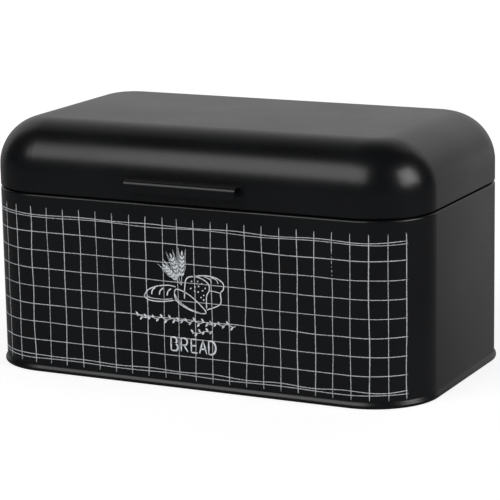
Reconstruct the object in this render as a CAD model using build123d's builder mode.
"""Small steel bread bin: a wrapped sheet body rolled in round its base, and a deep-drawn lid
that swings back on two riveted hinges.

Frame: millimetres, +Z up, front towards -Y. The origin is the middle of the plan, on the
surface that the bin stands on. Sections of bent sheet are drawn in (n, z), where n is the
distance outwards from the outer face of the body wall: n = 0 is that face, and the inside
of the bin has negative n.
"""

import os

from build123d import *

# ---- Driving dimensions -------------------------------------------------------------
WIDTH = 330.0  # over the wall faces, left to right
DEPTH = 192.0  # over the wall faces, front to back
HEIGHT = 176.8  # surface to the top of the closed lid
CORNER_R = 45.0  # upright corners, in plan
LID_EDGE_R = 34.5  # drawn edge between the lid's top and its skirt
SHEET = 0.6  # body, base and lid steel
PLAY = 0.05  # between layers that lie on each other or fit in a hole

SHOULDER_Z = 127.6  # top of the body's rolled shoulder
LID_GAP = 1.2  # between the shoulder and the lid's hem
LID_BOTTOM = SHOULDER_Z + LID_GAP
SPLIT_Z = SHOULDER_Z + LID_GAP / 2  # height of the hinge pins

# ---- Body and base (bends are on the sheet's centre line) ---------------------------
SHOULDER_R = 1.5
NECK_N = -3.3  # centre line of the neck that stands up inside the lid
NECK_R = 0.8
NECK_TOP = 133.5
HEM_R = 0.35  # fold of a flattened hem
HEM_LEG = 4.5  # height of the folded layer of a hem

ROLL_N = 1.1  # the wall steps out to this round the base, and folds under it
ROLL_Z = (2.2, 4.4)  # foot and top of that step
ROLL_TOP_R = 3.0
ROLL_R = 2.0
FOLD_R = 0.9
FOLD_END_N = -3.0  # inner edge of the fold, under the base
PAN_LIP_Z = 2.0  # top of the base pan's rim, inside the roll
PAN_HOOK_R = 0.6
FLOOR_Z = 4.0  # top of the floor panel at its edge
FLOOR_BEND_R = 1.2
BEAD_N = (-14.0, -17.0, -21.0)  # start, top and inner end of the floor's stiffening step
BEAD_H = 1.2
BEAD_R = 2.0
LAP_W = 7.0  # upright lock seam at the back
LAP_PROUD = 0.6
LAP_CLEAR = (1.3, 3.5)  # short of the roll, and of the shoulder

# ---- Handle lip ---------------------------------------------------------------------
HANDLE_W = 84.0
HANDLE_T = 1.0
HANDLE_REACH = 8.0  # front of the lip, beyond the lid's face
HANDLE_Z = (136.2, 144.4)  # the lip's lower edge, and where its line meets the ledge's
HANDLE_RISE = 1.6  # the ledge climbs this much from the flange to the lip
HANDLE_BEND_R = 3.0  # centre line, where the lip turns down
HANDLE_ROOT_R = 1.0  # centre line, where it turns down inside the lid
HANDLE_FLANGE_Z = 136.1  # foot of the flange that is welded inside the lid
HANDLE_CORNER_R = 2.0
SLOT_PLAY = 0.15

# ---- Hinges -------------------------------------------------------------------------
HINGE_X = 88.0  # middle of each hinge, left and right of the centre
LEAF_W = 32.0
LEAF_H = 15.0  # from the pin to the far edge of a leaf
LEAF_T = 1.0
LEAF_CORNER_R = 2.5
PIN_R = 1.2
BARREL_R = PIN_R + PLAY + LEAF_T
BARREL_OFF = 0.3  # between the barrel and the wall's face
PIN_Y = DEPTH / 2 + BARREL_OFF + BARREL_R
MID_KNUCKLE = 11.4  # length of the lid's knuckle, between the body's two
KNUCKLE_GAP = 0.3
KNUCKLE_CLEAR = BARREL_R + 0.4  # from the pin to the straight edge of a leaf
STOP_REACH = HANDLE_REACH  # tip of the opening stop, beyond the back wall's face
PIN_HEAD_R = 1.8
PIN_HEAD_T = 0.7

# ---- Rivets and their backing plates --------------------------------------------------
RIVET_X = 9.5  # either side of the hinge's middle
RIVET_Z = 9.5  # from the hinge pin to the rivets of a leaf
SHANK_R = 1.5
HEAD_R = 3.0
HEAD_H = 1.1
HEAD_EDGE = 0.3
BULB_R = 2.3
BULB_H = 2.6
DIMPLE_R = 0.8  # left where the mandrel broke off
DIMPLE_DEPTH = 1.4
PLATE_W = 28.0
PLATE_H = 6.6
PLATE_T = 0.8
PLATE_CORNER_R = 1.5

# ---- Lid buffers --------------------------------------------------------------------
BUFFER_X = 62.0
BUFFER_W = 14.0
BUFFER_IN = 4.2
BUFFER_H = 4.2
BUFFER_R = 0.9
BUFFER_GAP = 0.1  # above the neck, with the lid shut

FRONT_SECTION = Plane(origin=(0, -DEPTH / 2, 0), x_dir=(0, -1, 0), z_dir=(-1, 0, 0))
BACK_WALL = Plane(origin=(0, DEPTH / 2, 0), x_dir=(1, 0, 0), z_dir=(0, -1, 0))
FRONT_WALL = Plane(origin=(0, -DEPTH / 2, 0), x_dir=(1, 0, 0), z_dir=(0, -1, 0))
RIVET_SPOTS = [(x + dx, RIVET_Z) for x in (-HINGE_X, HINGE_X) for dx in (-RIVET_X, RIVET_X)]

os.makedirs("parts", exist_ok=True)


def save(piece, name):
    """Label one finished piece and write it."""
    piece.label = name
    export_step(piece, f"parts/{name}.step")


def plan(grow=0.0):
    """The bin's rounded plan, `grow` outside the wall's face, in the current sketch."""
    RectangleRounded(WIDTH + 2 * grow, DEPTH + 2 * grow, CORNER_R + grow)


def wall_path():
    """Closed line round the wall's outer face, starting in the middle of the front."""
    flat_w, flat_d = WIDTH - 2 * CORNER_R, DEPTH - 2 * CORNER_R
    with BuildLine(mode=Mode.PRIVATE) as path:
        side = Line((0, -DEPTH / 2), (flat_w / 2, -DEPTH / 2))
        for length in (flat_d, flat_w, flat_d, flat_w / 2):
            bend = JernArc(side @ 1, side % 1, CORNER_R, 90)
            side = Line(bend @ 1, bend @ 1 + (bend % 1) * length)
    return path.wire()


def sheet_ring(points, radii):
    """Bent sheet along an (n, z) centre line, carried all round the bin."""
    with BuildSketch(FRONT_SECTION) as section:
        with BuildLine():
            FilletPolyline(*points, radius=radii)
        trace(line_width=SHEET)
    sweep(section.sketch, path=wall_path())


def rivet_holes(side):
    """Holes for every rivet of one side of the hinges: +1 the lid's, -1 the body's."""
    with BuildSketch(BACK_WALL) as holes:
        with Locations(*[(x, SPLIT_Z + side * z) for x, z in RIVET_SPOTS]):
            Circle(SHANK_R + PLAY)
    extrude(holes.sketch, amount=LEAF_T + PLATE_T + SHEET, both=True, mode=Mode.SUBTRACT)


# ---- Body wall: fold, roll, wall, rolled shoulder, and the hemmed neck inside the lid ----
wall_n = -SHEET / 2
shoulder_line = SHOULDER_Z - SHEET / 2
neck_line = NECK_TOP - SHEET / 2
with BuildPart() as body_wall:
    sheet_ring(
        [
            (FOLD_END_N, SHEET / 2),
            (ROLL_N, SHEET / 2),
            (ROLL_N, ROLL_Z[0]),
            (wall_n, ROLL_Z[1]),
            (wall_n, shoulder_line),
            (NECK_N, shoulder_line),
            (NECK_N, neck_line),
            (NECK_N - 2 * HEM_R, neck_line),
            (NECK_N - 2 * HEM_R, NECK_TOP - HEM_LEG),
        ],
        [FOLD_R, ROLL_R, ROLL_TOP_R, SHOULDER_R, NECK_R, HEM_R, HEM_R],
    )
    lap_z = (ROLL_Z[1] + LAP_CLEAR[0], SHOULDER_Z - LAP_CLEAR[1])
    with BuildSketch(Plane.XY.offset(lap_z[0])) as lap:
        with Locations((0, DEPTH / 2)):
            Rectangle(LAP_W, 2 * LAP_PROUD)
        fillet(lap.vertices().group_by(Axis.Y)[-1], LAP_PROUD * 0.6)
    extrude(amount=lap_z[1] - lap_z[0])
    rivet_holes(-1)
save(body_wall.part, "body_wall")

# ---- Base pan: rim held inside the roll, foot on the fold, and up to the recessed floor ----
pan_n = -SHEET - PLAY - SHEET / 2
rim_n = ROLL_N - SHEET - PLAY
foot_z = SHEET + PLAY + SHEET / 2
floor_line = FLOOR_Z - SHEET / 2
with BuildPart() as base_pan:
    sheet_ring(
        [
            (rim_n, PAN_LIP_Z),
            (rim_n, foot_z),
            (pan_n, foot_z),
            (pan_n, floor_line),
            (BEAD_N[0], floor_line),
            (BEAD_N[1], floor_line + BEAD_H),
            (BEAD_N[2], floor_line + BEAD_H),
        ],
        [PAN_HOOK_R, PAN_HOOK_R, FLOOR_BEND_R, BEAD_R, BEAD_R],
    )
    with BuildSketch(Plane.XY.offset(FLOOR_Z - SHEET + BEAD_H)):
        plan(BEAD_N[2])
    extrude(amount=SHEET)
save(base_pan.part, "base_pan")

# ---- Lid shell: drawn pillow with a hemmed lower edge and the slot for the handle -------
hem_z = LID_BOTTOM + SHEET / 2 + HEM_R
flange_n = -SHEET - 3 * PLAY - HANDLE_T / 2
lip_n = HANDLE_REACH - HANDLE_T / 2
root_z = HANDLE_Z[1] - HANDLE_RISE
ledge_at_wall = root_z - flange_n * HANDLE_RISE / (lip_n - flange_n)
with BuildPart() as lid_shell:
    with BuildSketch(Plane.XY.offset(hem_z)):
        plan()
    extrude(amount=HEIGHT - hem_z)
    fillet(lid_shell.edges().group_by(Axis.Z)[-1], LID_EDGE_R)
    offset(amount=-SHEET, openings=lid_shell.faces().sort_by(Axis.Z)[0])
    sheet_ring(
        [
            (wall_n, hem_z + SHEET),
            (wall_n, LID_BOTTOM + SHEET / 2),
            (wall_n - 2 * HEM_R, LID_BOTTOM + SHEET / 2),
            (wall_n - 2 * HEM_R, LID_BOTTOM + HEM_LEG),
        ],
        [HEM_R, HEM_R],
    )
    slot_low = root_z - HANDLE_ROOT_R - SLOT_PLAY
    slot_high = ledge_at_wall + HANDLE_T / 2 + SLOT_PLAY
    with BuildSketch(FRONT_WALL):
        with Locations((0, (slot_low + slot_high) / 2)):
            Rectangle(HANDLE_W + 2 * SLOT_PLAY, slot_high - slot_low)
    extrude(amount=2 * SHEET, both=True, mode=Mode.SUBTRACT)
    rivet_holes(+1)
save(lid_shell.part, "lid_shell")

# ---- Handle lip: flange inside the lid, out through the slot, and down in front ---------
with BuildPart() as handle_lip:
    with BuildSketch(FRONT_SECTION):
        with BuildLine():
            FilletPolyline(
                (flange_n, HANDLE_FLANGE_Z),
                (flange_n, root_z),
                (lip_n, HANDLE_Z[1]),
                (lip_n, HANDLE_Z[0]),
                radius=[HANDLE_ROOT_R, HANDLE_BEND_R],
            )
        trace(line_width=HANDLE_T)
    extrude(amount=HANDLE_W / 2, both=True)
    lip_corners = handle_lip.edges().filter_by(Axis.Y).filter_by_position(
        Axis.Y, -DEPTH / 2 - HANDLE_REACH, -DEPTH / 2
    )
    fillet(lip_corners.group_by(Axis.Z)[0], HANDLE_CORNER_R)
save(handle_lip.part, "handle_lip")


# ---- Hinges -------------------------------------------------------------------------
def barrel(start, length, side, tail=0.0):
    """One knuckle along X, joined to its leaf; `tail` sticks out at the back as a stop."""
    with BuildSketch(Plane.YZ.offset(start)) as profile:
        with Locations((PIN_Y, SPLIT_Z)):
            Circle(BARREL_R)
        neck_mid = SPLIT_Z + side * KNUCKLE_CLEAR / 2
        with Locations((DEPTH / 2 + LEAF_T / 2, neck_mid)):
            Rectangle(LEAF_T, KNUCKLE_CLEAR)
        if tail:
            with Locations((PIN_Y, SPLIT_Z)):
                Rectangle(tail, LEAF_T, align=(Align.MIN, Align.CENTER))
    extrude(profile.sketch, amount=length)


def leaf(middle, side, knuckles, tail=0.0):
    """A hinge leaf on the back wall: side +1 goes up on the lid, -1 down on the body."""
    edge, far = SPLIT_Z + side * KNUCKLE_CLEAR, SPLIT_Z + side * LEAF_H
    with BuildSketch(BACK_WALL) as outline:
        with Locations((middle, (edge + far) / 2)):
            Rectangle(LEAF_W, abs(far - edge))
        far_corners = outline.vertices().group_by(Axis.Z)[-1 if side > 0 else 0]
        fillet(far_corners, LEAF_CORNER_R)
    extrude(outline.sketch, amount=-LEAF_T)
    for start, length in knuckles:
        barrel(middle + start, length, side, tail)
    with BuildSketch(Plane.YZ.offset(middle)) as bore:
        with Locations((PIN_Y, SPLIT_Z)):
            Circle(PIN_R + PLAY)
    extrude(bore.sketch, amount=LEAF_W, both=True, mode=Mode.SUBTRACT)
    rivet_holes(side)


def rivet(x, z):
    """A pulled blind rivet: domed head on the leaf, bulb on the plate inside the sheet."""
    grip = SHEET + PLATE_T
    middle = Plane(origin=(x, DEPTH / 2, z), x_dir=(1, 0, 0), z_dir=(0, 0, 1))
    head_top = LEAF_T + HEAD_H
    with BuildSketch(middle) as half_section:
        with BuildLine():
            Polyline(
                (0, -grip - BULB_H),
                (0, head_top - DIMPLE_DEPTH),
                (DIMPLE_R, head_top - DIMPLE_DEPTH),
                (DIMPLE_R, head_top),
            )
            dome_rise = (HEAD_H - HEAD_EDGE) * 0.35
            ThreePointArc(
                (DIMPLE_R, head_top),
                ((DIMPLE_R + HEAD_R) / 2, head_top - dome_rise),
                (HEAD_R, LEAF_T + HEAD_EDGE),
            )
            bulb_shoulder = -grip - BULB_H * 0.4
            Polyline(
                (HEAD_R, LEAF_T + HEAD_EDGE),
                (HEAD_R, LEAF_T),
                (SHANK_R, LEAF_T),
                (SHANK_R, -grip),
                (BULB_R, -grip),
                (BULB_R, bulb_shoulder),
            )
            RadiusArc((BULB_R, bulb_shoulder), (BULB_R * 0.4, -grip - BULB_H), BULB_H * 0.6)
            Line((BULB_R * 0.4, -grip - BULB_H), (0, -grip - BULB_H))
        make_face()
    revolve(half_section.sketch, axis=Axis((x, 0, z), (0, 1, 0)))


outer_knuckle = (LEAF_W - MID_KNUCKLE) / 2 - KNUCKLE_GAP
body_knuckles = [(-LEAF_W / 2, outer_knuckle), (LEAF_W / 2 - outer_knuckle, outer_knuckle)]
lid_knuckles = [(-MID_KNUCKLE / 2, MID_KNUCKLE)]
stop_tail = DEPTH / 2 + STOP_REACH - PIN_Y

for hand, middle in (("left", -HINGE_X), ("right", HINGE_X)):
    with BuildPart() as body_leaf:
        leaf(middle, -1, body_knuckles)
    save(body_leaf.part, f"hinge_{hand}_body_leaf")

    with BuildPart() as lid_leaf:
        leaf(middle, +1, lid_knuckles, stop_tail)
    save(lid_leaf.part, f"hinge_{hand}_lid_leaf")

    with BuildPart() as pin:
        reach = LEAF_W / 2 + PLAY
        with BuildSketch(Plane.YZ.offset(middle)):
            with Locations((PIN_Y, SPLIT_Z)):
                Circle(PIN_R)
        extrude(amount=reach, both=True)
        for start in (-reach - PIN_HEAD_T, reach):
            with BuildSketch(Plane.YZ.offset(middle + start)):
                with Locations((PIN_Y, SPLIT_Z)):
                    Circle(PIN_HEAD_R)
            extrude(amount=PIN_HEAD_T)
        rims = pin.edges().filter_by(GeomType.CIRCLE).group_by(Axis.X)
        fillet(rims[0] + rims[-1], PIN_HEAD_T * 0.6)
    save(pin.part, f"hinge_{hand}_pin")

    for owner, side in (("body", -1), ("lid", +1)):
        row_z = SPLIT_Z + side * RIVET_Z
        with BuildPart() as plate:
            with BuildSketch(BACK_WALL.offset(SHEET)):
                with Locations((middle, row_z)):
                    RectangleRounded(PLATE_W, PLATE_H, PLATE_CORNER_R)
            extrude(amount=PLATE_T)
            rivet_holes(side)
        save(plate.part, f"hinge_{hand}_{owner}_plate")

        with BuildPart() as rivets:
            for dx in (-RIVET_X, RIVET_X):
                rivet(middle + dx, row_z)
        save(rivets.part, f"hinge_{hand}_{owner}_rivets")

# ---- Lid buffers: silicone blocks inside the lid's front, above the body's neck ---------
for hand, middle in (("left", -BUFFER_X), ("right", BUFFER_X)):
    with BuildPart() as buffer:
        with BuildSketch(Plane.XY.offset(NECK_TOP + BUFFER_GAP)):
            with Locations((middle, -DEPTH / 2 + SHEET + BUFFER_IN / 2)):
                Rectangle(BUFFER_W, BUFFER_IN)
        extrude(amount=BUFFER_H)
        glued = buffer.faces().sort_by(Axis.Y)[0]
        free_edges = [e for e in buffer.edges() if e not in glued.edges()]
        fillet(free_edges, BUFFER_R)
    save(buffer.part, f"lid_buffer_{hand}")
